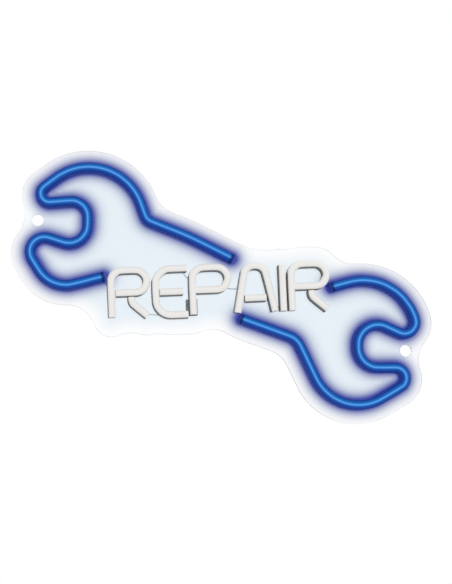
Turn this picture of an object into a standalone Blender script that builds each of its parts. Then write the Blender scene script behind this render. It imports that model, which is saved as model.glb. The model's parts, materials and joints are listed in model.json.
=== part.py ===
"""Lighted wall sign: an open-ended spanner drawn in blue LED flex round a word in white LED flex,
on a clear panel cut to follow the drawing. Blender 4.5, metres, +Z up; the sign faces -Y.

The pieces are laid out flat in sign coordinates, x to the right, y up the sign and z out of its
front, with z = 0 on the panel's rear face. The empty that holds them stands the sign upright.
"""
import math

import bmesh
import bpy
import numpy as np
from mathutils import Matrix, Vector

MM = 0.001

# ---- driving dimensions ----
SPANNER_LENGTH = 310 * MM      # between the outermost tube centre lines
LETTER_HEIGHT = 37 * MM        # between tube centre lines
WORD_TILT = math.radians(2.5)  # the word climbs to the right
LETTER_GAP = 1.1 * MM          # clear space between the tubes of two letters
RUN_GAP = 0.8 * MM             # clear space between a blue end and a letter

PANEL_THICK = 4 * MM
PANEL_BORDER = 15 * MM         # panel beyond a tube's centre line
NOTCH_RADIUS = 20 * MM         # rounding inside the panel's notches
HANG_HOLE_RADIUS = 4.8 * MM
HANG_HOLE_RIM = 6 * MM         # least panel round a hanging hole

BLUE_WIDTH = 8 * MM
LETTER_WIDTH = 6 * MM
BASE_HEIGHT = 7 * MM
BASE_WALL = 1.0 * MM
BASE_FLOOR = 1.2 * MM
DOME_HEIGHT = 7 * MM           # diffuser above the rim of its base
DOME_SHOULDER = 3 * MM         # straight side of the dome
PLUG_DEPTH = 2.2 * MM          # diffuser inside its base
CAP_THICK = 1.2 * MM
SPIGOT_LENGTH = 3 * MM         # end cap inside the base

STRIP_THICK = 0.6 * MM
LEAD_RADIUS = 0.8 * MM
LEAD_DROP = 2.6 * MM           # centre line of a lead behind the panel
LEAD_BEND = 2 * MM
FEED_HOLE_RADIUS = 1.3 * MM

SOCKET_WIDTH = 9 * MM
SOCKET_LENGTH = 13 * MM
SOCKET_BORE_RADIUS = 3.1 * MM
SOCKET_BORE_DEPTH = 10 * MM
PIN_RADIUS = 1.0 * MM
PIN_TAIL = 1.5 * MM            # pin beyond the back of the socket
LEAF_WIDTH = 2.0 * MM
LEAF_THICK = 0.4 * MM
PAD_THICK = 1.0 * MM

GAP = 0.3 * MM                 # between pieces that touch

# ---- sizes that follow ----
BASE_Z = PANEL_THICK + GAP
STRIP_Z = BASE_Z + BASE_FLOOR + GAP
RIM_Z = BASE_Z + BASE_HEIGHT
DOME_Z = RIM_Z + GAP
SOCKET_Z = -(GAP + PAD_THICK + GAP + SOCKET_WIDTH / 2)

# ---- the drawing, in mm ----
# A line is a list of (x, y) corners, with a bend radius as a third number. The spanner is drawn
# DRAWN_LENGTH long: each jaw's line comes along the handle, bends out at the neck, goes round the
# head to a tip, in and out of the mouth to the other tip, and back round the head. An end that runs
# on under the word is cut where its tube meets a letter.
DRAWN_LENGTH = 310
LEFT_JAW = [
    (8, 20.5), (-30, 39, 150),
    (-62, 51.5, 9), (-87.5, 121, 44), (-163, 63, 7),
    (-109, 67.5, 13), (-109.5, 27, 15),
    (-170, 45.5, 11.5), (-138, -5, 25), (-78, 10.5),
]
RIGHT_JAW = [
    (-6, -12), (13, -27, 30),
    (59, -43.5, 16), (92, -112, 38), (170.5, -66, 8.5),
    (108.5, -66.5, 16), (108.5, -23, 16),
    (162.5, -47.5, 9.5), (140.5, 12.5, 44), (92, 0, 60), (66, -9),
]
HANG_HOLES = [(-149, 52), (149, -52)]
WORD_CENTRE = (-3.5, -4.5)

# A letter is DRAWN_HEIGHT high. Each of its pieces is cut to clear the ones listed before it.
DRAWN_HEIGHT = 37
TO_STEM = None                 # straight back until it meets the letter's own stem
HOOP = [(0, 0), (0, 37, 9), (28.5, 37, 9), (28.5, 19, 9), TO_STEM]
LETTERS = [
    ("first_r", [("hoop", HOOP), ("leg", [(16, 19), (16, 11, 6), (28.5, 0)])]),
    ("e", [("spine", [(25.5, 37), (0, 37, 12), (0, 0, 12), (25.5, 0)]), ("arm", [(0, 18.5), (22, 18.5)])]),
    ("p", [("hoop", HOOP)]),
    ("a", [("arch", [(0, 0), (7.5, 37, 8), (22.5, 37, 8), (30, 0)]), ("bar", [(2, 11), (28, 11)])]),
    ("i", [("stem", [(0, 0), (0, 37)])]),
    ("last_r", [("hoop", HOOP), ("leg", [(16, 19), (16, 11, 6), (28.5, 0)])]),
]

# Jumper leads behind the panel, each from one tube to the tube beside it. An end is named by its
# distance along the tube from its start or, when negative, from its end.
LEADS = [
    ("left_jaw", -4, "first_r_hoop", 25),
    ("first_r_hoop", -10, "first_r_leg", 4),
    ("first_r_leg", -4, "e_spine", -12),
    ("e_spine", 39.5, "e_arm", 4),
    ("e_spine", 4, "p_hoop", 27),
    ("p_hoop", -22, "a_arch", 20),
    ("a_arch", 10, "a_bar", 4),
    ("a_arch", -4, "i_stem", 4),
    ("i_stem", 17, "last_r_hoop", 17),
    ("last_r_hoop", -10, "last_r_leg", 4),
    ("last_r_hoop", -22, "right_jaw", -4),
]
SOCKET_TUBE = "p_hoop"
SOCKET_FEED = SOCKET_LENGTH + 4 * MM

# ---- looks ----
CLEAR = ("clear_acrylic", (0.86, 0.92, 0.97), 0.05, 0.0)
WHITE_SILICONE = ("white_silicone", (0.82, 0.82, 0.80), 0.45, 0.0)
BLUE_SILICONE = ("blue_silicone", (0.03, 0.12, 0.55), 0.40, 0.0)
NAVY_SILICONE = ("navy_silicone", (0.01, 0.03, 0.20), 0.50, 0.0)
GREY_SILICONE = ("grey_silicone", (0.55, 0.55, 0.56), 0.50, 0.0)
STRIP_WHITE = ("strip_white", (0.85, 0.84, 0.78), 0.40, 0.0)
LEAD_CLEAR = ("lead_insulation", (0.75, 0.75, 0.74), 0.35, 0.0)
SOCKET_BLACK = ("socket_black", (0.02, 0.02, 0.022), 0.45, 0.0)
PLATED = ("plated_contact", (0.70, 0.68, 0.62), 0.25, 1.0)
PAD_WHITE = ("pad_foam", (0.70, 0.70, 0.68), 0.90, 0.0)

# ---- sampling ----
FINE = 0.5 * MM                # spacing while a line is being worked out
BEND_STEPS = 24
CHORD_ERROR = 0.2 * MM         # a finished line may stray this far
GRID = 2 * MM                  # of the distance field that gives the panel's outline
HOLE_SIDES = 8
HANG_HOLE_SIDES = 28
BORE_SIDES = 20
PIN_SIDES = 12


# ---- lines: arrays of (x, y) points ----
def spaced(line, step=FINE):
    """The line again as evenly spaced points."""
    line = np.array(line, float)
    along = np.concatenate([[0], np.cumsum(np.linalg.norm(np.diff(line, axis=0), axis=1))])
    stops = np.linspace(0, along[-1], max(2, int(along[-1] / step) + 1))
    return np.stack([np.interp(stops, along, line[:, axis]) for axis in (0, 1)], axis=1)


def scaled(corners, scale):
    """The corners with their places and bend radii scaled."""
    return [c if c is TO_STEM else tuple(n * scale for n in c) for c in corners]


def bent_line(corners):
    """Straight runs between the corners, each bent to its radius."""
    line = [Vector(corners[0][:2])]
    for before, corner, after in zip(corners, corners[1:], corners[2:]):
        here = Vector(corner[:2])
        back = (Vector(before[:2]) - here).normalized()
        on = (Vector(after[:2]) - here).normalized()
        opening = back.angle(on)
        centre = here + (back + on).normalized() * corner[2] / math.sin(opening / 2)
        first = here + back * corner[2] / math.tan(opening / 2) - centre
        turn = math.copysign(math.pi - opening, back.y * on.x - back.x * on.y)
        line += [centre + Matrix.Rotation(turn * k / BEND_STEPS, 2) @ first for k in range(BEND_STEPS + 1)]
    line.append(Vector(corners[-1][:2]))
    return spaced(line)


def distance_to(points, line):
    """The distance from each point to the nearest point of a finely spaced line."""
    return np.array([np.linalg.norm(line - point, axis=1).min() for point in points])


def tube_sides(line, width):
    """From each point of a centre line to the left side of its tube."""
    along = np.gradient(line, axis=0)
    along /= np.linalg.norm(along, axis=1)[:, None]
    return np.stack([-along[:, 1], along[:, 0]], axis=1) * width / 2


def cut_to_clear(line, width, letters, gap):
    """The line shortened at both ends so that its square-cut tube clears the letters' tubes."""
    side = tube_sides(line, width)
    clear = np.ones(len(line), bool)
    for letter in letters:
        for edge in (-side, 0 * side, side):
            clear &= distance_to(line + edge, letter) > LETTER_WIDTH / 2 + gap
    middle = len(line) // 2
    first = middle - np.argmin(np.append(clear[middle::-1], False)) + 1
    last = middle + np.argmin(np.append(clear[middle:], False))
    return line[first:last]


def thinned(line, error=CHORD_ERROR):
    """The line with the points dropped that it can do without (Douglas-Peucker)."""
    start, end = line[0], line[-1]
    way = (end - start) / max(np.linalg.norm(end - start), 1e-9)
    off = np.abs((line[:, 0] - start[0]) * way[1] - (line[:, 1] - start[1]) * way[0])
    worst = int(off.argmax())
    if off[worst] <= error:
        return [start, end]
    return thinned(line[:worst + 1], error)[:-1] + thinned(line[worst:], error)


def point_along(line, distance):
    """The point at a distance from the line's start or, when negative, from its end."""
    if distance < 0:
        line, distance = line[::-1], -distance
    return Vector(line[min(round(distance / FINE), len(line) - 1)])


def shortened(line, length):
    """The line without that length of each end."""
    drop = round(length / FINE)
    return line[drop:len(line) - drop]


# ---- the tubes' centre lines ----
def letter_lines():
    """Centre lines of the word's tubes, by name."""
    scale = LETTER_HEIGHT / DRAWN_HEIGHT
    lines = {}
    cursor = 0
    for letter, pieces in LETTERS:
        placed = []
        for piece, corners in pieces:
            corners = scaled(corners, scale)
            if corners[-1] is TO_STEM:
                corners[-1] = (LETTER_WIDTH / 2 + GAP + FINE, corners[-2][1])
            line = bent_line(corners)
            line = cut_to_clear(line, LETTER_WIDTH, placed, GAP + CHORD_ERROR)
            placed.append(line)
            lines[f"{letter}_{piece}"] = line + [cursor, 0]
        reach = max((line + np.abs(tube_sides(line, LETTER_WIDTH)))[:, 0].max() for line in placed)
        cursor += reach + LETTER_GAP + LETTER_WIDTH / 2
    word_width = cursor - LETTER_GAP - LETTER_WIDTH
    cosine, sine = math.cos(WORD_TILT), math.sin(WORD_TILT)
    tilt = np.array([[cosine, sine], [-sine, cosine]])
    centre = np.array(WORD_CENTRE) * MM
    return {
        name: (line - [word_width / 2, LETTER_HEIGHT / 2]) @ tilt + centre
        for name, line in lines.items()
    }


word = letter_lines()
scale = SPANNER_LENGTH / DRAWN_LENGTH
blue = {
    name: cut_to_clear(bent_line(scaled(corners, scale)), BLUE_WIDTH, word.values(), RUN_GAP)
    for name, corners in (("left_jaw", LEFT_JAW), ("right_jaw", RIGHT_JAW))
}
tubes = {**blue, **word}
hang_holes = [Vector((x * scale, y * scale)) for x, y in HANG_HOLES]


# ---- the panel's outline ----
def contour(field, level, corner):
    """The longest closed line on which the grid's field crosses the level."""
    joins = {}
    columns, rows = field.shape
    for i in range(columns - 1):
        for j in range(rows - 1):
            cell = [(i, j), (i + 1, j), (i + 1, j + 1), (i, j + 1)]
            inside = [field[node] < level for node in cell]
            cuts = [k for k in range(4) if inside[k] != inside[k - 1]]
            for first, second in zip(cuts[::2], cuts[1::2]):
                ends = [tuple(sorted((cell[k - 1], cell[k]))) for k in (first, second)]
                joins.setdefault(ends[0], []).append(ends[1])
                joins.setdefault(ends[1], []).append(ends[0])
    longest = []
    while joins:
        edge = next(iter(joins))
        loop = []
        while edge in joins:
            loop.append(edge)
            edge = next((there for there in joins.pop(edge) if there in joins), None)
        longest = max(longest, loop, key=len)
    points = []
    for low, high in longest:
        part = (level - field[low]) / (field[high] - field[low])
        points.append(corner + GRID * (np.array(low) + part * (np.array(high) - np.array(low))))
    return np.array(points)


def inside_loop(points, loop):
    """Whether each point is inside the closed line, by counting crossings."""
    inside = np.zeros(len(points), bool)
    for (x1, y1), (x2, y2) in zip(loop, np.roll(loop, -1, axis=0)):
        if y1 != y2:
            crosses = (points[:, 1] < y1) != (points[:, 1] < y2)
            inside ^= crosses & (points[:, 0] < x1 + (points[:, 1] - y1) * (x2 - x1) / (y2 - y1))
    return inside


def panel_outline():
    """A border round everything drawn, with its notches rounded and its inside filled."""
    drawn = np.concatenate([line[::4] for line in tubes.values()])
    margin = PANEL_BORDER + NOTCH_RADIUS + 4 * GRID
    corner = drawn.min(axis=0) - margin
    columns, rows = ((drawn.max(axis=0) - corner + margin) / GRID).astype(int)
    grid = corner + GRID * np.stack(np.mgrid[:columns, :rows], axis=-1).reshape(-1, 2)
    field = distance_to(grid, drawn) - PANEL_BORDER
    for hole in hang_holes:
        rim = np.linalg.norm(grid - np.array(hole), axis=1) - HANG_HOLE_RADIUS - HANG_HOLE_RIM
        field = np.minimum(field, rim)
    swollen = contour(field.reshape(columns, rows), NOTCH_RADIUS, corner)
    outside = distance_to(grid, spaced([*swollen, swollen[0]]))
    outside[inside_loop(grid, swollen)] *= -1
    loop = contour(outside.reshape(columns, rows), -NOTCH_RADIUS, corner)
    loop = np.array([*loop, loop[0]])
    half = len(loop) // 2
    return thinned(loop[:half + 1])[:-1] + thinned(loop[half:])[:-1]


# ---- building ----
for old in list(bpy.data.objects):
    bpy.data.objects.remove(old)
parts = bpy.data.collections.new("lighted_spanner_sign")
cutters = bpy.data.collections.new("cutters")
for collection in (parts, cutters):
    bpy.context.scene.collection.children.link(collection)
materials = {}


def empty(name, parent=None):
    """An empty that other objects are placed from."""
    made = bpy.data.objects.new(name, None)
    made.parent = parent
    bpy.context.scene.collection.objects.link(made)
    return made


upright = empty("upright")
upright.rotation_euler.x = math.radians(90)


def material(look):
    """The material of one look, made the first time it is asked for."""
    name, colour, roughness, metallic = look
    if name not in materials:
        made = bpy.data.materials.new(name)
        made.use_nodes = True
        shader = made.node_tree.nodes["Principled BSDF"]
        shader.inputs["Base Color"].default_value = (*colour, 1)
        shader.inputs["Roughness"].default_value = roughness
        shader.inputs["Metallic"].default_value = metallic
        made.diffuse_color = (*colour, 1)
        materials[name] = made
    return materials[name]


def piece(name, mesh, look=None, parent=upright):
    """An object from a mesh: a part, or a cutter when it has no look."""
    body = bmesh.new()
    body.from_mesh(mesh)
    bmesh.ops.remove_doubles(body, verts=body.verts, dist=0.00001)
    bmesh.ops.recalc_face_normals(body, faces=body.faces)
    body.to_mesh(mesh)
    body.free()
    mesh.materials.clear()
    mesh.polygons.foreach_set("use_smooth", [True] * len(mesh.polygons))
    mesh.set_sharp_from_angle(angle=math.radians(35))
    made = bpy.data.objects.new(name, mesh)
    made.parent = parent
    if look:
        mesh.materials.append(material(look))
        parts.objects.link(made)
    else:
        made.hide_render = True
        made.display_type = "WIRE"
        cutters.objects.link(made)
    return made


def mesh_of(curve, *helpers):
    """The mesh of a curve, with the curve itself and the objects that shaped it removed."""
    holder = bpy.data.objects.new("curve", curve)
    bpy.context.scene.collection.objects.link(holder)
    shaped = holder.evaluated_get(bpy.context.evaluated_depsgraph_get())
    mesh = bpy.data.meshes.new_from_object(shaped)
    for used in (holder, *helpers):
        bpy.data.objects.remove(used)
    return mesh


def add_spline(curve, points, closed):
    spline = curve.splines.new("POLY")
    spline.points.add(len(points) - 1)
    for place, point in zip(spline.points, points):
        place.co = (*point, *([0] * (3 - len(point))), 1)
    spline.use_cyclic_u = closed


def sweep(line, section):
    """A section of (across, out) points carried along a centre line."""
    profile = bpy.data.curves.new("profile", "CURVE")
    profile.dimensions = "2D"
    profile.fill_mode = "NONE"
    add_spline(profile, section, closed=True)
    profile_holder = bpy.data.objects.new("profile", profile)
    bpy.context.scene.collection.objects.link(profile_holder)
    curve = bpy.data.curves.new("sweep", "CURVE")
    curve.dimensions = "3D"
    curve.twist_mode = "Z_UP"
    curve.bevel_mode = "OBJECT"
    curve.bevel_object = profile_holder
    curve.use_fill_caps = True
    square_ended = [line[0], *thinned(line[1:-1]), line[-1]]
    add_spline(curve, square_ended, closed=False)
    return mesh_of(curve, profile_holder)


def rod(points, radius):
    """A round rod through 3-D points."""
    curve = bpy.data.curves.new("rod", "CURVE")
    curve.dimensions = "3D"
    curve.bevel_depth = radius
    curve.bevel_resolution = 1
    curve.use_fill_caps = True
    add_spline(curve, points, closed=False)
    return mesh_of(curve)


def plate(outlines, thickness):
    """A flat plate up from z = 0; every outline after the first is a hole in it."""
    curve = bpy.data.curves.new("plate", "CURVE")
    curve.dimensions = "2D"
    curve.fill_mode = "BOTH"
    curve.extrude = thickness / 2
    for outline in outlines:
        add_spline(curve, outline, closed=True)
    mesh = mesh_of(curve)
    mesh.transform(Matrix.Translation((0, 0, thickness / 2)))
    return mesh


def circle(centre, radius, sides=HOLE_SIDES):
    turns = [math.tau * (k + 0.5) / sides for k in range(sides)]
    return [(centre[0] + radius * math.cos(a), centre[1] + radius * math.sin(a)) for a in turns]


def primitive(create, **sizes):
    """The mesh of one of bmesh's primitives."""
    body = bmesh.new()
    create(body, **sizes)
    mesh = bpy.data.meshes.new("primitive")
    body.to_mesh(mesh)
    body.free()
    return mesh


def block(low, high):
    """A block between two opposite corners."""
    low, high = Vector(low), Vector(high)
    mesh = primitive(bmesh.ops.create_cube, size=1)
    mesh.transform(Matrix.Translation((low + high) / 2) @ Matrix.Diagonal((*(high - low), 1)))
    return mesh


def cylinder(radius, low, high, sides=HOLE_SIDES):
    """A round bar on the z axis, between two heights."""
    mesh = primitive(
        bmesh.ops.create_cone, cap_ends=True, segments=sides,
        radius1=radius, radius2=radius, depth=high - low,
    )
    mesh.transform(Matrix.Translation((0, 0, (low + high) / 2)))
    return mesh


def combine(target, tool, operation):
    """A live exact Boolean on the target."""
    modifier = target.modifiers.new(tool.name, "BOOLEAN")
    modifier.operation = operation
    modifier.solver = "EXACT"
    modifier.object = tool


def oblong(width, low, high):
    return [(-width / 2, low), (width / 2, low), (width / 2, high), (-width / 2, high)]


def channel(width):
    """The width inside the base of a tube."""
    return width - 2 * BASE_WALL


def plug(width, low, high):
    """The section of what fits in the base of a tube, between two heights."""
    return oblong(channel(width) - 2 * GAP, low, high)


def dome_section(width, bottom):
    """The dome's section from a height up, mirrored about the tube's middle."""
    half = width / 2
    crown = DOME_HEIGHT - DOME_SHOULDER
    turns = [math.radians(angle) for angle in (0, 40, 90, 140, 180)]
    arch = [(half * math.cos(a), DOME_Z + DOME_SHOULDER + crown * math.sin(a)) for a in turns]
    return [(half, bottom), *arch, (-half, bottom)]


def fitted_diffuser(line, width, name, look, inset):
    """A dome the length of the tube on a plug that stops short of the ends of its base."""
    diffuser = piece(f"{name}_diffuser", sweep(line, dome_section(width, DOME_Z)), look)
    plug_section = plug(width, RIM_Z - PLUG_DEPTH, DOME_Z + GAP)
    foot = piece(f"{name}_plug", sweep(shortened(line, inset), plug_section))
    combine(diffuser, foot, "UNION")


def led_strip(line, width, name):
    """An LED strip on the floor of a tube's base."""
    section = oblong(channel(width) - 4 * GAP, STRIP_Z, STRIP_Z + STRIP_THICK)
    piece(f"{name}_led_strip", sweep(line, section), STRIP_WHITE)


def feed_holes(base, name):
    """Holes through a base's floor for the leads that reach it."""
    for k, hole in enumerate(feeds[name]):
        bar = cylinder(FEED_HOLE_RADIUS, BASE_Z - GAP, STRIP_Z - GAP / 2)
        drill = piece(f"{name}_drill_{k}", bar)
        drill.location = hole.to_3d()
        combine(base, drill, "DIFFERENCE")


feeds = {name: [] for name in tubes}
lead_ends = {}
for from_tube, from_distance, to_tube, to_distance in LEADS:
    start = point_along(tubes[from_tube], from_distance * MM)
    end = point_along(tubes[to_tube], to_distance * MM)
    feeds[from_tube].append(start)
    feeds[to_tube].append(end)
    lead_ends[f"lead_{from_tube}_to_{to_tube}"] = (start, end)
feeds[SOCKET_TUBE].append(point_along(tubes[SOCKET_TUBE], SOCKET_FEED))

# ---- panel ----
panel_outlines = [panel_outline()]
for hole in hang_holes:
    panel_outlines.append(circle(hole, HANG_HOLE_RADIUS, HANG_HOLE_SIDES))
for holes in feeds.values():
    for hole in holes:
        panel_outlines.append(circle(hole, FEED_HOLE_RADIUS))
piece("panel", plate(panel_outlines, PANEL_THICK), CLEAR)

# ---- blue tubes: open-ended trays closed by caps ----
for name, line in blue.items():
    body = shortened(line, CAP_THICK + GAP)
    inner, outer = channel(BLUE_WIDTH) / 2, BLUE_WIDTH / 2
    floor = BASE_Z + BASE_FLOOR
    tray = [
        (-outer, BASE_Z), (outer, BASE_Z), (outer, RIM_Z), (inner, RIM_Z),
        (inner, floor), (-inner, floor), (-inner, RIM_Z), (-outer, RIM_Z),
    ]
    base = piece(f"{name}_base", sweep(body, tray), NAVY_SILICONE)
    feed_holes(base, name)
    stop = SPIGOT_LENGTH + GAP
    led_strip(shortened(body, stop), BLUE_WIDTH, name)
    fitted_diffuser(body, BLUE_WIDTH, name, BLUE_SILICONE, stop)
    for end, way in (("start", line), ("end", line[::-1])):
        cap_line = way[:round(CAP_THICK / FINE) + 1]
        spigot_line = way[:round((CAP_THICK + GAP + SPIGOT_LENGTH) / FINE) + 1]
        cap_section = dome_section(BLUE_WIDTH, BASE_Z)
        cap = piece(f"{name}_{end}_cap", sweep(cap_line, cap_section), NAVY_SILICONE)
        spigot_section = plug(BLUE_WIDTH, RIM_Z - PLUG_DEPTH, RIM_Z - GAP)
        spigot = piece(f"{name}_{end}_spigot", sweep(spigot_line, spigot_section))
        combine(cap, spigot, "UNION")

# ---- white tubes: trays with closed ends ----
for name, line in word.items():
    base = piece(f"{name}_base", sweep(line, oblong(LETTER_WIDTH, BASE_Z, RIM_Z)), GREY_SILICONE)
    hollow_section = oblong(channel(LETTER_WIDTH), BASE_Z + BASE_FLOOR, RIM_Z + GAP)
    hollow = piece(f"{name}_hollow", sweep(shortened(line, BASE_WALL), hollow_section))
    combine(base, hollow, "DIFFERENCE")
    feed_holes(base, name)
    led_strip(shortened(line, BASE_WALL + 2 * GAP), LETTER_WIDTH, name)
    fitted_diffuser(line, LETTER_WIDTH, name, WHITE_SILICONE, BASE_WALL + GAP)

# ---- leads ----
LEAD_TOP = Vector((0, 0, STRIP_Z - GAP))


def lead_bend(hole, toward, drop):
    """A lead's points from the back of the panel up into a hole, coming from a neighbour."""
    flat = (toward - hole).normalized().to_3d() * LEAD_BEND
    up = Vector((0, 0, LEAD_BEND))
    centre = hole.to_3d() + flat + up - Vector((0, 0, drop))
    turns = [math.radians(angle) for angle in (0, 30, 60, 90)]
    bend = [centre - up * math.cos(turn) - flat * math.sin(turn) for turn in turns]
    return [*bend, hole.to_3d() + LEAD_TOP]


for name, (start, end) in lead_ends.items():
    route = lead_bend(start, end, LEAD_DROP)[::-1] + lead_bend(end, start, LEAD_DROP)
    piece(name, rod(route, LEAD_RADIUS), LEAD_CLEAR)

# ---- power socket, behind the letter that takes the supply ----
foot = point_along(tubes[SOCKET_TUBE], 0)
feed = point_along(tubes[SOCKET_TUBE], SOCKET_FEED)
up_stem = (feed - foot).normalized()

# The socket is laid out from the middle of its mouth: y up the stem, z out of the sign's front.
socket_frame = empty("socket_frame", upright)
socket_frame.location = (foot.x, foot.y, SOCKET_Z)
socket_frame.rotation_euler.z = math.atan2(up_stem.y, up_stem.x) - math.radians(90)
side = SOCKET_WIDTH / 2


def round_in_socket(name, radius, start, end, sides, look=None):
    """A round piece along the socket's middle, between two distances from its mouth."""
    bar = piece(name, cylinder(radius, start, end, sides), look, socket_frame)
    bar.rotation_euler.x = math.radians(-90)
    return bar


socket_block = block((-side, 0, -side), (side, SOCKET_LENGTH, side))
socket = piece("power_socket_body", socket_block, SOCKET_BLACK, socket_frame)
bore = round_in_socket("socket_bore", SOCKET_BORE_RADIUS, -GAP, SOCKET_BORE_DEPTH, BORE_SIDES)
combine(socket, bore, "DIFFERENCE")
pin_way = round_in_socket(
    "socket_pin_way", PIN_RADIUS + GAP, SOCKET_BORE_DEPTH - GAP, SOCKET_LENGTH + GAP, PIN_SIDES)
combine(socket, pin_way, "DIFFERENCE")
round_in_socket(
    "power_socket_pin", PIN_RADIUS, 2 * GAP, SOCKET_LENGTH + PIN_TAIL, PIN_SIDES, PLATED)
leaf_low = -SOCKET_BORE_RADIUS + 2 * GAP
leaf_high = (LEAF_WIDTH / 2, SOCKET_BORE_DEPTH - GAP, leaf_low + LEAF_THICK)
leaf = block((-LEAF_WIDTH / 2, 2 * GAP, leaf_low), leaf_high)
piece("power_socket_leaf", leaf, PLATED, socket_frame)
pad = block((-side, 0, side + GAP), (side, SOCKET_LENGTH, side + GAP + PAD_THICK))
piece("power_socket_pad", pad, PAD_WHITE, socket_frame)

tail = foot + up_stem * (SOCKET_LENGTH + PIN_TAIL + GAP)
route = [tail.to_3d() + Vector((0, 0, SOCKET_Z))] + lead_bend(feed, foot, -SOCKET_Z)
piece(f"lead_power_socket_to_{SOCKET_TUBE}", rod(route, LEAD_RADIUS), LEAD_CLEAR)
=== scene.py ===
"""The looks of the lighted spanner sign. Metres, +Z up; the sign faces -Y, and the rear face of its
panel is at y = 0.

Each length of flex is rebuilt as a fine base tray and domed diffuser, along the centre line of the LED
strip inside it. The clear panel is rebuilt from its own outline and holes.
"""
import json
import math
from collections import Counter, defaultdict

import bmesh
import bpy
import numpy as np
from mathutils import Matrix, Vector
from mathutils.geometry import delaunay_2d_cdt, interpolate_bezier


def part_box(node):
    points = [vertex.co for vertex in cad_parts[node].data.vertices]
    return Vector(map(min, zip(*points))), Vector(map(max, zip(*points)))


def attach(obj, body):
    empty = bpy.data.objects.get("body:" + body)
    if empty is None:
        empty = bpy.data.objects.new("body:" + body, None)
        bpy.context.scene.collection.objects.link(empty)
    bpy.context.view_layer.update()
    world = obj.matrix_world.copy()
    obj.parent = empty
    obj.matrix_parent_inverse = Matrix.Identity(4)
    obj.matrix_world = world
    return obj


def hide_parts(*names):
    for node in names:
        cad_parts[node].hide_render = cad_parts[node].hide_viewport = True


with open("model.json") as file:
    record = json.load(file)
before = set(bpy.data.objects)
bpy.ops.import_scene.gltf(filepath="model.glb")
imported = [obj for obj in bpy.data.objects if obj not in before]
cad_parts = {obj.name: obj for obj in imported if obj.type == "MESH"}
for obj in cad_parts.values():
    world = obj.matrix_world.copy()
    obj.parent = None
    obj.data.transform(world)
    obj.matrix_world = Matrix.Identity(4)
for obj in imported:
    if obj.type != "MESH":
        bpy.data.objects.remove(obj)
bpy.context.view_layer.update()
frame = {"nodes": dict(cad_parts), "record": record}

MM = 0.001

# ---- the flex's own sizes, shared with the CAD ----
BASE_WALL = 1.0 * MM
BASE_FLOOR = 1.2 * MM
DOME_SHOULDER = 3 * MM
PLUG_DEPTH = 2.2 * MM
SPIGOT_LENGTH = 3 * MM         # of an end cap, inside the tray
GAP = 0.3 * MM
BLUE_WIDTH = 8 * MM            # of the blue tubes, which are wider than the letters'

# ---- fineness ----
LINE_STEP = 1.0 * MM           # rings along a tube
DOME_TURNS = 22                # facets across a dome
EDGE_ROUND = 0.35 * MM         # softened edges of moulded pieces
RIM_ROUND = 0.2 * MM           # the same at the rim of a tray
CAP_STEP = 0.3 * MM            # rings along an end cap
PANEL_CHAMFER = 0.3 * MM
PANEL_GRID = 3 * MM
PANEL_EDGE_STEP = 1.2 * MM
HOLE_SIDES = 40
SAME_DEPTH = 0.02 * MM         # points this close in depth lie on one face
SAME_PLACE = 0.05 * MM         # stops this close along a line are one
PLUG_OVERLAP = 0.1 * MM        # how far a plug reaches into its dome

# ---- where the light is ----
BRIGHT_SIDE = Vector((0.6, 0.8))  # way across the sign to the brighter side of the room; the painted highlight and painted shade of the tubes follow it
GLOW_SHIFT = 1.2 * MM          # the painted glow in the panel lies over to that side


# ---- reading lines off the CAD ----
def merged_mesh(node):
    """A CAD node's points, merged where they meet, and its triangles as triples of them."""
    mesh = frame["nodes"][node].data
    points = [tuple(round(c, 5) for c in vertex.co) for vertex in mesh.vertices]
    mesh.calc_loop_triangles()
    return [tuple(points[i] for i in triangle.vertices) for triangle in mesh.loop_triangles]


def boundary_loops(triangles, y):
    """The closed lines round the flat face at one depth, as lists of (x, z) points."""
    uses = Counter()
    for triangle in triangles:
        if all(abs(point[1] - y) < SAME_DEPTH for point in triangle):
            flat = [(point[0], point[2]) for point in triangle]
            uses.update(frozenset(pair) for pair in zip(flat, flat[1:] + flat[:1]))
    joined = defaultdict(list)
    for edge, count in uses.items():
        if count == 1 and len(edge) == 2:
            one, other = edge
            joined[one].append(other)
            joined[other].append(one)
    loops = []
    while joined:
        point = next(iter(joined))
        loop = []
        while point is not None:
            loop.append(point)
            point = next((near for near in joined.pop(point) if near in joined), None)
        loops.append(np.array(loop))
    return loops


def distances_along(line):
    """How far along the line each of its points is."""
    return np.concatenate([[0], np.cumsum(np.linalg.norm(np.diff(line, axis=0), axis=1))])


def length_of(line):
    return np.linalg.norm(np.diff(line, axis=0), axis=1).sum()


def at(line, along, distances):
    """The points at the distances along a line; along is how far along its own points are."""
    return np.stack([np.interp(distances, along, line[:, axis]) for axis in (0, 1)], axis=-1)


def nearest_on(line, point):
    """The nearest point of a line of straight runs."""
    starts, runs = line[:-1], np.diff(line, axis=0)
    parts = np.clip(((point - starts) * runs).sum(axis=1) / (runs ** 2).sum(axis=1), 0, 1)
    feet = starts + parts[:, None] * runs
    return feet[np.linalg.norm(feet - point, axis=1).argmin()]


def strip_line(node):
    """The centre line and the width of an LED strip, from its front face: the outline is parted at
    its four square corners, and the middle lies half way between the two long sides."""
    low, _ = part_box(node)
    loop = max(boundary_loops(merged_mesh(node), low.y), key=len)
    before = loop - np.roll(loop, 1, axis=0)
    after = np.roll(before, -1, axis=0)
    lengths = np.linalg.norm(before, axis=1) * np.linalg.norm(after, axis=1)
    corners = np.flatnonzero((before * after).sum(axis=1) < lengths * math.cos(math.radians(60)))
    closed = np.vstack([loop, loop[:corners[0] + 1]])
    stops = [*corners, len(loop) + corners[0]]
    sides = sorted([closed[a:b + 1] for a, b in zip(stops, stops[1:])], key=length_of)
    other, one = sorted(sides[-2:], key=len)
    line = np.array([(point + nearest_on(other, point)) / 2 for point in one])
    return line, length_of(sides[0])


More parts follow.
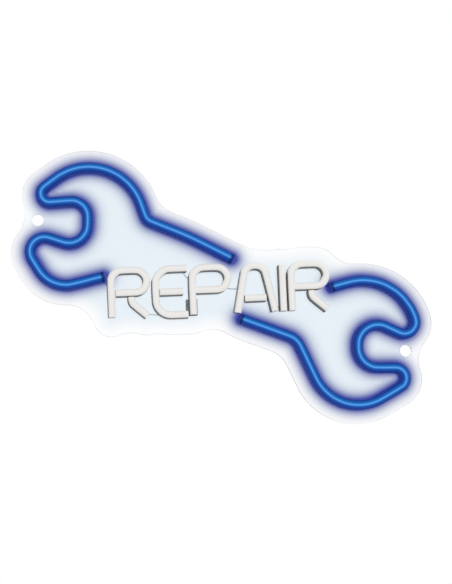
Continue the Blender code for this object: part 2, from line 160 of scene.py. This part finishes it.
def end_reach(line, node):
    """How far a node runs on past the start of a line, straight ahead."""
    ahead = line[0] - line[1]
    ahead /= np.linalg.norm(ahead)
    side = np.array([-ahead[1], ahead[0]])
    points = np.array([(v.co.x, v.co.z) for v in frame["nodes"][node].data.vertices]) - line[0]
    close = (np.abs(points @ side) < BLUE_WIDTH / 2 + GAP) & (points @ ahead < BLUE_WIDTH)
    return (points[close] @ ahead).max(), ahead


def run_on(line, node):
    """The line with both its ends moved out to the ends of a node."""
    line = line.copy()
    for _ in range(2):
        reach, ahead = end_reach(line, node)
        line = np.vstack([line[0] + ahead * reach, line])[::-1]
    return line


def smooth_line(points, step=LINE_STEP):
    """A fine, smooth, evenly stepped line through the points."""
    points = [Vector(point) for point in points]
    padded = [points[0] * 2 - points[1], *points, points[-1] * 2 - points[-2]]
    ways = [(after - before).normalized() for before, after in zip(padded, padded[2:])]
    line = [points[0]]
    for start, end, leaving, arriving in zip(points, points[1:], ways, ways[1:]):
        reach = (end - start).length / 3
        line += interpolate_bezier(start, start + leaving * reach, end - arriving * reach, end, 12)[1:]
    return stepped(np.array(line), step)


def stepped(line, step):
    """The line again with even steps."""
    along = distances_along(line)
    return at(line, along, np.linspace(0, along[-1], max(2, round(along[-1] / step) + 1)))


def stretch_of(line, start, end):
    """The part of a line between two distances from its start; a negative end counts from its end."""
    along = distances_along(line)
    end = along[-1] + end if end <= 0 else end
    between = (along > start + SAME_PLACE) & (along < end - SAME_PLACE)
    return at(line, along, [start, *along[between], end])


# ---- sweeping a section along a line ----
def add_sweep(body, line, section, rounded=(0, 0)):
    """Adds a capped sweep to a bmesh. The section is a loop of (across, out) points, with out measured
    forward from the panel's rear face; rounded gives how far each end is softened. Each point keeps
    how far across the tube it is, how far along and from its nearer end in mm, and how far over to
    the bright side."""
    layers = body.verts.layers.float
    names = ("across", "along", "from_end", "bright_side")
    across_layer, along_layer, end_layer, side_layer = [layers.get(n) or layers.new(n) for n in names]
    section = np.array(section)
    middle = (section.max(axis=0) + section.min(axis=0)) / 2
    along = distances_along(line)
    rings = [(distance, 0.0) for distance in along]
    for end, radius in enumerate(rounded):
        if radius:
            turns = [math.radians(angle) for angle in (0, 30, 60, 90)]
            soft = [(radius * (1 - math.sin(a)), radius * (1 - math.cos(a))) for a in turns]
            if end == 0:
                rings = soft[::-1] + [ring for ring in rings if ring[0] > radius]
            else:
                last = along[-1]
                rings = [ring for ring in rings if ring[0] < last - radius]
                rings += [(last - distance, inset) for distance, inset in soft]
    half_size = section.max(axis=0) - middle
    made = []
    for distance, inset in rings:
        place = at(line, along, distance)
        before = at(line, along, max(distance - LINE_STEP, 0))
        after = at(line, along, min(distance + LINE_STEP, along[-1]))
        way = after - before
        way /= np.linalg.norm(way)
        shrink = 1 - inset / half_size
        ring = []
        for across, out in (section - middle) * shrink + middle:
            x, z = place + across * np.array([way[1], -way[0]])
            vertex = body.verts.new((x, -out, z))
            vertex[across_layer] = across / half_size[0]
            vertex[along_layer] = distance / MM
            vertex[end_layer] = min(distance, along[-1] - distance) / MM
            facing = way[1] * BRIGHT_SIDE.x - way[0] * BRIGHT_SIDE.y
            vertex[side_layer] = across / half_size[0] * facing
            ring.append(vertex)
        made.append(ring)
    for ring, after in zip(made, made[1:]):
        for k in range(len(ring)):
            body.faces.new((ring[k - 1], ring[k], after[k], after[k - 1]))
    body.faces.new(made[0])
    body.faces.new(made[-1][::-1])


def finished(name, body, sharp=35):
    """An object from a bmesh, faces outward, smooth but for its sharp edges."""
    bmesh.ops.recalc_face_normals(body, faces=body.faces)
    mesh = bpy.data.meshes.new(name)
    body.to_mesh(mesh)
    body.free()
    mesh.polygons.foreach_set("use_smooth", [True] * len(mesh.polygons))
    mesh.set_sharp_from_angle(angle=math.radians(sharp))
    made = bpy.data.objects.new(name, mesh)
    bpy.context.scene.collection.objects.link(made)
    return made


def stand_for(piece, node, slot, finish):
    """The piece takes a CAD node's place, with a finish."""
    piece.data.materials.clear()
    piece.data.materials.append(finish)
    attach(piece, "root")
    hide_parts(node)


def oblong(half, low, high):
    return [(-half, low), (half, low), (half, high), (-half, high)]


def rounded_oblong(half, low, high, radius=EDGE_ROUND):
    """An oblong section with its corners rounded."""
    corners = [(half, low, -90), (half, high, 0), (-half, high, 90), (-half, low, 180)]
    section = []
    for across, out, start in corners:
        centre = (across - math.copysign(radius, across), out + (radius if out == low else -radius))
        for step in (0, 30, 60, 90):
            turn = math.radians(start + step)
            section.append((centre[0] + radius * math.cos(turn), centre[1] + radius * math.sin(turn)))
    return section


def dome_section(half, low, shoulder, top):
    """A dome's section: straight sides up to the shoulder, then a half-round crown."""
    section = [(-half + EDGE_ROUND, low), (half - EDGE_ROUND, low), (half, low + EDGE_ROUND)]
    for step in range(DOME_TURNS + 1):
        turn = math.pi * step / DOME_TURNS
        section.append((half * math.cos(turn), shoulder + (top - shoulder) * math.sin(turn)))
    section.append((-half, low + EDGE_ROUND))
    return section


# ---- finishes: shader maths as Python expressions ----
class Value:
    """A shader socket that arithmetic works on; each operation adds a Math node."""

    def __init__(self, finish, socket):
        self.finish = finish
        self.socket = socket

    def maths(self, operation, *values):
        return self.finish.node("Math", {"operation": operation}, dict(enumerate(values)))

    def __add__(self, other):
        return self.maths("ADD", self, other)

    def __radd__(self, other):
        return self.maths("ADD", other, self)

    def __sub__(self, other):
        return self.maths("SUBTRACT", self, other)

    def __rsub__(self, other):
        return self.maths("SUBTRACT", other, self)

    def __mul__(self, other):
        return self.maths("MULTIPLY", self, other)

    def __rmul__(self, other):
        return self.maths("MULTIPLY", other, self)

    def __truediv__(self, other):
        return self.maths("DIVIDE", self, other)

    def __pow__(self, other):
        return self.maths("POWER", self, other)

    def __abs__(self):
        return self.maths("ABSOLUTE", self)

    def smooth(self, low, high):
        """0 below low, 1 above high, and a smooth step between."""
        settings = {"interpolation_type": "SMOOTHSTEP"}
        return self.finish.node("MapRange", settings, {"Value": self, "From Min": low, "From Max": high})

    def wave(self):
        return self.maths("SINE", self)

    def at_least(self, least):
        return self.maths("MAXIMUM", self, least)

    def faded(self, reach, power):
        """1 at 0, falling off as an exponential of a power of the distance over the reach."""
        return self.maths("EXPONENT", (self / reach) ** power * -1.0)


class Finish:
    """A material being made; its Principled shader's sockets are set by name."""

    def __init__(self, name, **sockets):
        self.material = bpy.data.materials.new(name)
        self.material.use_nodes = True
        self.tree = self.material.node_tree
        self.shader = self.tree.nodes["Principled BSDF"]
        self.set(sockets)

    def set(self, sockets):
        for name, value in sockets.items():
            self.join(self.shader.inputs[name.replace("_", " ")], value)

    def join(self, socket, value):
        if isinstance(value, Value):
            self.tree.links.new(value.socket, socket)
        elif isinstance(value, tuple) and len(value) == 3 and socket.type == "RGBA":
            socket.default_value = (*value, 1)
        else:
            socket.default_value = value

    def node(self, kind, settings=None, sockets=None, output=0):
        """One node: its settings first, then its sockets' values or links."""
        made = self.tree.nodes.new("ShaderNode" + kind)
        for name, value in (settings or {}).items():
            setattr(made, name, value)
        for name, value in (sockets or {}).items():
            self.join(made.inputs[name], value)
        return Value(self, made.outputs[output])

    def attribute(self, name):
        """A number stored on the mesh's points."""
        return self.node("Attribute", {"attribute_name": name}, output="Fac")

    def mix(self, factor, first, second):
        """Two colours mixed."""
        return self.node("Mix", {"data_type": "RGBA"}, {0: factor, 6: first, 7: second}, output=2)

    def tinted(self, colour, amount):
        """A colour times a number."""
        settings = {"data_type": "RGBA", "blend_type": "MULTIPLY"}
        grey = self.node("CombineColor", {}, {0: amount, 1: amount, 2: amount})
        return self.node("Mix", settings, {0: 1.0, 6: colour, 7: grey}, output=2)

    def place(self):
        """Object coordinates, in metres."""
        return self.node("TexCoord", output="Object")

    def noise(self, scale, detail=3.0, roughness=0.5, vector=None):
        sockets = {"Scale": scale, "Detail": detail, "Roughness": roughness}
        return self.node("TexNoise", {}, {**sockets, "Vector": vector or self.place()})

    def bump(self, height, strength, distance):
        sockets = {"Height": height, "Strength": strength, "Distance": distance}
        self.set({"Normal": self.node("Bump", {}, sockets)})


def blue_light():
    """Lit blue silicone: a bright line over the strip, deep blue flanks with a painted highlight on the
    side toward the light and painted shade on the side away from it, dark towards the ends.
    """
    finish = Finish("blue_light", Roughness=0.5, Emission_Strength=1.0, Specular_IOR_Level=0.05)
    across = abs(finish.attribute("across"))
    bright_side = finish.attribute("bright_side")
    along = finish.attribute("along")
    from_end = finish.attribute("from_end")
    grain = finish.noise(900, 2)
    # painted highlight and painted shade: the flank toward the bright side is lighter, the one away from
    # it darker
    flank = finish.mix(bright_side.smooth(-1.0, 1.0), (0.006, 0.050, 0.290), (0.003, 0.140, 0.440))
    flank = finish.mix(across.smooth(0.35, 0.9), flank, (0.008, 0.024, 0.185))
    glow = finish.mix(across.faded(0.20, 2.0), flank, (0.095, 0.350, 0.800))
    chips = (along * (math.tau / 2.5)).wave() * 0.03 + 1.0
    lit = from_end.smooth(0.4, 2.2) * 0.85 + 0.15
    finish.set({
        "Base Color": finish.mix(grain, (0.002, 0.010, 0.060), (0.004, 0.016, 0.085)),
        "Emission Color": finish.tinted(glow, chips * lit * (0.97 + grain * 0.06)),
        "Roughness": 0.44 + grain * 0.14,
    })
    finish.bump(grain, 0.15, 0.00008)
    return finish.material


def navy_silicone():
    """The opaque silicone of the blue tubes' trays and end caps, with a faint painted glow of their own
    blue light.
    """
    finish = Finish("navy_silicone", Roughness=0.5, Emission_Strength=1.0, Specular_IOR_Level=0.1)
    grain = finish.noise(700, 3)
    mould = (finish.attribute("along") * 2.1).wave() * 0.5 + 0.5
    surface = grain * 0.7 + mould * 0.3
    finish.set({
        "Base Color": finish.mix(surface, (0.004, 0.010, 0.060), (0.008, 0.018, 0.095)),
        # painted glow of the tubes' own blue light on the opaque silicone
        "Emission Color": finish.mix(grain, (0.008, 0.014, 0.120), (0.010, 0.020, 0.145)),
        "Roughness": 0.42 + grain * 0.18,
    })
    finish.bump(surface, 0.2, 0.0001)
    return finish.material


def white_light():
    """White silicone diffuser, evenly and faintly lit, with painted shade along its edge away from the
    light and faintly round its whole rim.
    """
    finish = Finish("white_light", Roughness=0.45, Emission_Strength=1.0, Specular_IOR_Level=0.15)
    rim = abs(finish.attribute("across"))
    away = 0.0 - finish.attribute("bright_side")
    # painted shade: dark along the edge away from the bright side, and faintly round the whole rim; it
    # dims both the colour and the glow
    shade = rim.smooth(0.70, 0.95) * away.smooth(0.25, 0.6) + rim.smooth(0.8, 1.0) * 0.12
    grain = finish.noise(800, 3)
    cloud = finish.noise(60, 2)
    silicone = finish.mix(grain * 0.5 + cloud * 0.5, (0.420, 0.414, 0.405), (0.450, 0.445, 0.437))
    finish.set({
        "Base Color": finish.mix(shade, silicone, (0.11, 0.11, 0.105)),
        "Emission Color": finish.mix(shade, (0.370, 0.364, 0.356), (0.03, 0.03, 0.03)),
        "Roughness": 0.38 + grain * 0.16,
    })
    finish.bump(grain, 0.15, 0.00008)
    return finish.material


def grey_silicone():
    """The opaque silicone of the letters' trays, with faint lines of the mould along it."""
    finish = Finish("grey_silicone", Roughness=0.5, Specular_IOR_Level=0.15)
    grain = finish.noise(700, 3)
    stretched = finish.node("Mapping", {}, {"Vector": finish.place(), "Scale": (1, 40, 1)})
    lines = finish.noise(60, 2, vector=stretched)
    surface = grain * 0.5 + lines * 0.5
    finish.set({
        "Base Color": finish.mix(surface, (0.085, 0.085, 0.08), (0.13, 0.13, 0.125)),
        "Roughness": 0.44 + grain * 0.16,
    })
    finish.bump(surface, 0.2, 0.0001)
    return finish.material


def clear_acrylic():
    """Polished clear sheet with a sawn edge; the blue light's glow is painted into its colour, deep blue
    near the blue tubes and a bluish haze away from its rim.
    """
    finish = Finish(
        "clear_acrylic", Roughness=0.02, Transmission_Weight=1.0, IOR=1.49, Specular_IOR_Level=0.2)
    # painted glow: the panel's colour turns deep blue near the blue tubes and fades with distance from
    # them
    painted_glow = finish.attribute("from_blue").at_least(0.0).faded(5.7, 1.5)
    inner = finish.attribute("from_rim").smooth(0.5, 16.0)
    smears = finish.noise(18, 4)
    edge = finish.attribute("edge")
    # painted haze of the blue light: the panel's colour turns bluish grey away from its rim
    clear = finish.mix(inner, (0.975, 0.987, 0.996), (0.80, 0.875, 0.93))
    tinted = finish.mix(painted_glow, clear, (0.025, 0.045, 0.360))
    finish.set({
        "Base Color": finish.mix(edge * 0.5, tinted, (0.62, 0.66, 0.72)),
        "Roughness": 0.01 + smears * 0.03 + edge * 0.22,
    })
    stretched = finish.node("Mapping", {}, {"Vector": finish.place(), "Scale": (1, 0.02, 1)})
    saw = finish.noise(1500, 1, vector=stretched)
    finish.bump(saw * edge, 0.25, 0.0001)
    return finish.material


def led_strip():
    """White solder mask with rows of yellow chips and copper cut marks."""
    finish = Finish("led_strip", Roughness=0.4)
    place = finish.place()
    right, up = [finish.node("SeparateXYZ", {}, {0: place}, output=axis) for axis in "XZ"]
    pitch = ((right + up) * (math.tau / 0.0035)).wave()
    chip = pitch.smooth(0.35, 0.5)
    grain = finish.noise(500, 2)
    mask = finish.mix(grain, (0.80, 0.79, 0.74), (0.87, 0.86, 0.82))
    pads = finish.mix((-1.0 * pitch).smooth(0.96, 0.99), mask, (0.72, 0.43, 0.24))
    finish.set({
        "Base Color": finish.mix(chip, pads, (0.80, 0.66, 0.16)),
        "Roughness": 0.35 + grain * 0.2,
    })
    finish.bump(chip, 0.3, 0.0002)
    return finish.material


def lead_insulation():
    """Clear-white insulation over a copper lead, with a faint painted glow that lightens it where it
    lies in shade behind the panel.
    """
    finish = Finish("lead_insulation", Roughness=0.3, Coat_Weight=0.3, Emission_Strength=1.0)
    grain = finish.noise(600, 2)
    ripple = finish.noise(90, 2)
    finish.set({
        "Base Color": finish.mix(ripple * 0.6 + grain * 0.4, (0.86, 0.85, 0.83), (0.93, 0.93, 0.92)),
        # painted glow, which lightens the lead where it lies in shade behind the panel
        "Emission Color": finish.mix(grain, (0.26, 0.27, 0.28), (0.32, 0.33, 0.34)),
        "Roughness": 0.24 + grain * 0.16,
    })
    finish.bump(ripple, 0.15, 0.0001)
    return finish.material


def socket_black():
    """Moulded black plastic with a fine spark-eroded texture."""
    finish = Finish("socket_black", Roughness=0.5)
    grain = finish.noise(1400, 4)
    rub = finish.noise(120, 3)
    finish.set({
        "Base Color": finish.mix(rub, (0.014, 0.014, 0.016), (0.032, 0.032, 0.035)),
        "Roughness": 0.40 + grain * 0.25,
    })
    finish.bump(grain, 0.35, 0.0001)
    return finish.material


def plated_contact():
    """Nickel plate with drawn lines along it."""
    finish = Finish("plated_contact", Roughness=0.25, Metallic=1.0)
    stretched = finish.node("Mapping", {}, {"Vector": finish.place(), "Scale": (1, 1, 0.04)})
    lines = finish.noise(2600, 2, vector=stretched)
    finish.set({
        "Base Color": finish.mix(lines, (0.60, 0.57, 0.50), (0.74, 0.72, 0.66)),
        "Roughness": 0.16 + lines * 0.2,
    })
    finish.bump(lines, 0.2, 0.00005)
    return finish.material


def pad_foam():
    """Closed-cell foam tape."""
    finish = Finish("pad_foam", Roughness=0.9)
    cells = finish.node("TexVoronoi", {}, {"Vector": finish.place(), "Scale": 2200.0})
    grain = finish.noise(500, 3)
    finish.set({
        "Base Color": finish.mix(grain, (0.62, 0.62, 0.60), (0.76, 0.76, 0.74)),
        "Roughness": 0.8 + grain * 0.15,
    })
    finish.bump(cells, 0.5, 0.0003)
    return finish.material


finishes = {
    "blue_silicone": blue_light(),
    "navy_silicone": navy_silicone(),
    "white_silicone": white_light(),
    "grey_silicone": grey_silicone(),
    "clear_acrylic": clear_acrylic(),
    "strip_white": led_strip(),
    "lead_insulation": lead_insulation(),
    "socket_black": socket_black(),
    "plated_contact": plated_contact(),
    "pad_foam": pad_foam(),
}
slots = {part["node"]: part["material_slot"] for part in frame["record"]["subparts"]}
tubes = [node[:-len("_led_strip")] for node in frame["nodes"] if node.endswith("_led_strip")]


# ---- the flex ----
def depth_of(node):
    """How far a node's rear and front stand out from the panel's rear face."""
    low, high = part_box(node)
    return -high.y, -low.y


def add_base(tube, line, half, open_ends):
    """A tray with a channel, and with end walls where no cap closes it."""
    low, rim = depth_of(f"{tube}_base")
    floor = low + BASE_FLOOR
    inner = half - BASE_WALL
    right = [
        (half - EDGE_ROUND, low), (half, low + EDGE_ROUND), (half, rim - RIM_ROUND),
        (half - RIM_ROUND, rim), (inner, rim), (inner, floor),
    ]
    tray = right + [(-across, out) for across, out in right[::-1]]
    body = bmesh.new()
    if open_ends:
        add_sweep(body, line, tray)
    else:
        wall = rounded_oblong(half, low, rim, RIM_ROUND)
        add_sweep(body, stretch_of(line, BASE_WALL, -BASE_WALL), tray)
        add_sweep(body, stretch_of(line, 0, BASE_WALL), wall, rounded=(EDGE_ROUND, 0))
        add_sweep(body, stretch_of(line[::-1], 0, BASE_WALL), wall, rounded=(EDGE_ROUND, 0))
    piece = finished(f"{tube}_tray", body)
    stand_for(piece, f"{tube}_base", slots[f"{tube}_base"], finishes[slots[f"{tube}_base"]])


def add_diffuser(tube, line, half, ends_inset):
    """A dome on a plug that reaches down into the tray."""
    _, rim = depth_of(f"{tube}_base")
    low = rim + GAP
    _, top = depth_of(f"{tube}_diffuser")
    body = bmesh.new()
    soft = 0 if ends_inset is None else EDGE_ROUND
    add_sweep(body, line, dome_section(half, low, low + DOME_SHOULDER, top), rounded=(soft, soft))
    plug_line = line if ends_inset is None else stretch_of(line, ends_inset, -ends_inset)
    add_sweep(body, plug_line, oblong(half - BASE_WALL - GAP, rim - PLUG_DEPTH, low + PLUG_OVERLAP))
    piece = finished(f"{tube}_dome", body)
    stand_for(piece, f"{tube}_diffuser", slots[f"{tube}_diffuser"], finishes[slots[f"{tube}_diffuser"]])


def add_cap(tube, node, line, half):
    """An end cap at the start of a line, as tall as tray and dome together, its outer face softened."""
    low, _ = depth_of(node)
    _, rim = depth_of(f"{tube}_base")
    _, top = depth_of(f"{tube}_diffuser")
    reach, ahead = end_reach(line, node)
    outer = line[0] + ahead * reach
    inner = line[0] + ahead * GAP
    body = bmesh.new()
    section = dome_section(half, low, rim + GAP + DOME_SHOULDER, top)
    add_sweep(body, stepped(np.array([outer, inner]), CAP_STEP), section, rounded=(EDGE_ROUND, 0))
    spigot_end = line[0] - ahead * SPIGOT_LENGTH
    spigot = oblong(half - BASE_WALL - GAP, rim - PLUG_DEPTH, rim - GAP)
    add_sweep(body, np.array([inner, spigot_end]), spigot)
    piece = finished(f"{node}_cover", body)
    stand_for(piece, node, slots[node], finishes[slots[node]])


blue_lines = []
for tube in tubes:
    line, strip_width = strip_line(f"{tube}_led_strip")
    half = strip_width / 2 + 2 * GAP + BASE_WALL
    line = smooth_line(run_on(line, f"{tube}_base"))
    caps = [node for node in frame["nodes"] if node.startswith(tube) and node.endswith("_cap")]
    if caps:
        blue_lines.append(line)
    add_base(tube, line, half, open_ends=bool(caps))
    add_diffuser(tube, line, half, None if caps else BASE_WALL + GAP)
    for node in caps:
        low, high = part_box(node)
        middle = np.array([(low.x + high.x) / 2, (low.z + high.z) / 2])
        nearer = np.linalg.norm(line[0] - middle) < np.linalg.norm(line[-1] - middle)
        add_cap(tube, node, line if nearer else line[::-1], half)
    strip = frame["nodes"][f"{tube}_led_strip"]
    strip.data.materials.clear()
    strip.data.materials.append(finishes["strip_white"])


# ---- the panel ----
def inside_loops(points, loops):
    """Whether each point is inside an odd number of closed lines."""
    inside = np.zeros(len(points), bool)
    for loop in loops:
        for (x1, z1), (x2, z2) in zip(loop, np.roll(loop, -1, axis=0)):
            if z1 != z2:
                level = (points[:, 1] < z1) != (points[:, 1] < z2)
                inside ^= level & (points[:, 0] < x1 + (points[:, 1] - z1) * (x2 - x1) / (z2 - z1))
    return inside


def nearest(points, others, block=400):
    """Each point's distance to the nearest of the others."""
    found = []
    for start in range(0, len(points), block):
        part = points[start:start + block, None, :] - others[None, :, :]
        found.append(np.sqrt((part ** 2).sum(axis=2).min(axis=1)))
    return np.concatenate(found)


def panel_loops():
    """The panel's outline, smoothed, and its holes as fine circles."""
    _, front = depth_of("panel")
    loops = boundary_loops(merged_mesh("panel"), -front)
    outline = max(loops, key=lambda loop: np.ptp(loop[:, 0]))
    closed = smooth_line([*outline, *outline[:3]], PANEL_EDGE_STEP)
    start = outline[1]
    first = int(np.linalg.norm(closed[:len(closed) // 2] - start, axis=1).argmin())
    last = len(closed) // 2 + int(np.linalg.norm(closed[len(closed) // 2:] - start, axis=1).argmin())
    fine = [closed[first:last]]
    for loop in loops:
        if loop is not outline:
            centre = loop.mean(axis=0)
            radius = np.linalg.norm(loop - centre, axis=1).mean()
            turns = np.arange(HOLE_SIDES) * math.tau / HOLE_SIDES
            fine.append(centre + radius * np.stack([np.cos(turns), np.sin(turns)], axis=1))
    return fine


def add_panel():
    rear, front = depth_of("panel")
    loops = panel_loops()
    rim = np.concatenate(loops)
    low, high = rim.min(axis=0), rim.max(axis=0)
    rows = np.arange(low[1], high[1], PANEL_GRID * math.sqrt(3) / 2)
    grid = np.array([
        (x + (PANEL_GRID / 2 if row % 2 else 0), z)
        for row, z in enumerate(rows) for x in np.arange(low[0], high[0], PANEL_GRID)
    ])
    grid = grid[inside_loops(grid, loops)]
    grid = grid[nearest(grid, rim) > PANEL_EDGE_STEP]
    points = np.concatenate([rim, grid])
    edges = []
    start = 0
    for loop in loops:
        edges += [(start + k, start + (k + 1) % len(loop)) for k in range(len(loop))]
        start += len(loop)
    verts, _, faces, *_ = delaunay_2d_cdt([Vector(p) for p in points], edges, [], 0, 1e-6)
    verts = np.array(verts)
    centres = np.array([verts[face].mean(axis=0) for face in faces])
    faces = [face for face, kept in zip(faces, inside_loops(centres, loops)) if kept]
    body = bmesh.new()
    glow_layer = body.verts.layers.float.new("from_blue")
    rim_layer = body.verts.layers.float.new("from_rim")
    edge_layer = body.verts.layers.float.new("edge")
    # the painted glow in the panel is measured from points moved over toward the bright side
    shifted = verts - np.array(BRIGHT_SIDE) * GLOW_SHIFT
    glows = (nearest(shifted, np.concatenate(blue_lines)) - BLUE_WIDTH / 2) / MM
    inners = nearest(verts, loops[0]) / MM
    front_points = [body.verts.new((x, -front, z)) for x, z in verts]
    rear_points = [body.verts.new((x, -rear, z)) for x, z in verts]
    for points_there in (front_points, rear_points):
        for vertex, glow, inner in zip(points_there, glows, inners):
            vertex[glow_layer] = glow
            vertex[rim_layer] = inner
    uses = Counter()
    for face in faces:
        body.faces.new([front_points[i] for i in face])
        body.faces.new([rear_points[i] for i in face[::-1]])
        uses.update(zip(face, face[1:] + face[:1]))
    for one, other in list(uses):
        if (other, one) not in uses:
            body.faces.new((
                front_points[other], front_points[one], rear_points[one], rear_points[other]))
    bmesh.ops.recalc_face_normals(body, faces=body.faces)
    rims = [edge for edge in body.edges if edge.calc_face_angle(0) > math.radians(60)]
    bmesh.ops.bevel(body, geom=rims, offset=PANEL_CHAMFER, segments=1, affect="EDGES", profile=0.5)
    for vertex in body.verts:
        on_face = min(abs(-vertex.co.y - rear), abs(-vertex.co.y - front)) < SAME_DEPTH
        vertex[edge_layer] = 0.0 if on_face else 1.0
    piece = finished("clear_panel", body, sharp=30)
    stand_for(piece, "panel", "clear_acrylic", finishes["clear_acrylic"])


add_panel()


# ---- pieces behind the panel: finer copies of their solids ----
def fine_copy(node, bevel=0.0, levels=0):
    """The node's solid as a new piece, with softened edges or a rounder surface."""
    body = bmesh.new()
    body.from_mesh(frame["nodes"][node].data)
    bmesh.ops.remove_doubles(body, verts=body.verts, dist=0.01 * MM)
    bmesh.ops.dissolve_limit(body, angle_limit=math.radians(1), verts=body.verts, edges=body.edges)
    if bevel:
        sharp = [edge for edge in body.edges if edge.calc_face_angle(0) > math.radians(40)]
        bmesh.ops.bevel(body, geom=sharp, offset=bevel, segments=3, affect="EDGES", profile=0.5)
    piece = finished(f"{node}_fine", body, sharp=50)
    if levels:
        rounding = piece.modifiers.new("rounding", "SUBSURF")
        rounding.levels = levels
        rounding.render_levels = levels
    stand_for(piece, node, slots[node], finishes[slots[node]])


for node in list(frame["nodes"]):
    if node.startswith("lead_"):
        fine_copy(node, levels=2)
fine_copy("power_socket_body", bevel=0.45 * MM)
fine_copy("power_socket_pin", bevel=0.25 * MM)
fine_copy("power_socket_leaf", bevel=0.1 * MM)
fine_copy("power_socket_pad", bevel=0.2 * MM)


# ---- stage, lights and camera ----
def area_light(name, place, target, size, watts, colour):
    lamp = bpy.data.lights.new(name, "AREA")
    lamp.shape = "DISK"
    lamp.size = size
    lamp.energy = watts
    lamp.color = colour
    holder = bpy.data.objects.new(name, lamp)
    holder.location = place
    holder.rotation_euler = (Vector(target) - Vector(place)).to_track_quat("-Z", "Y").to_euler()
    bpy.context.scene.collection.objects.link(holder)


def add_stage():
    world = bpy.data.worlds.new("studio")
    world.use_nodes = True
    world.node_tree.nodes["Background"].inputs["Color"].default_value = (1, 1, 1, 1)
    world.node_tree.nodes["Background"].inputs["Strength"].default_value = 1.0
    bpy.context.scene.world = world
    mesh = bpy.data.meshes.new("floor")
    body = bmesh.new()
    bmesh.ops.create_grid(body, x_segments=2, y_segments=2, size=0.9)
    body.to_mesh(mesh)
    body.free()
    floor = bpy.data.objects.new("floor", mesh)
    floor.location = (0, 0, -0.42)
    bpy.context.scene.collection.objects.link(floor)
    finish = Finish("pale_floor", Roughness=0.6)
    cloud = finish.noise(6, 3)
    finish.set({"Base Color": finish.mix(cloud, (0.86, 0.86, 0.86), (0.90, 0.90, 0.90))})
    mesh.materials.append(finish.material)
    area_light("key", (0.9, -1.3, 1.2), (0, 0, 0), 0.5, 5, (1, 0.99, 0.97))


CAMERA_DISTANCE = 1.8
CAMERA_AZIMUTH = math.radians(-4.5)
CAMERA_ELEVATION = math.radians(-4.5)
VIEW_HEIGHT = 0.4724           # height of the picture at the sign
AIM = Vector((0.0031, 0, -0.0048))


def add_camera():
    lens = bpy.data.cameras.new("camera")
    lens.sensor_fit = "VERTICAL"
    lens.sensor_height = 36
    lens.lens = lens.sensor_height * CAMERA_DISTANCE / VIEW_HEIGHT
    camera = bpy.data.objects.new("camera", lens)
    flat = math.cos(CAMERA_ELEVATION)
    way = Vector((
        math.sin(CAMERA_AZIMUTH) * flat, -math.cos(CAMERA_AZIMUTH) * flat, math.sin(CAMERA_ELEVATION)))
    camera.location = AIM + way * CAMERA_DISTANCE
    camera.rotation_euler = (-way).to_track_quat("-Z", "Y").to_euler()
    bpy.context.scene.collection.objects.link(camera)
    bpy.context.scene.camera = camera


add_stage()
add_camera()
bpy.context.scene.view_settings.view_transform = "Standard"
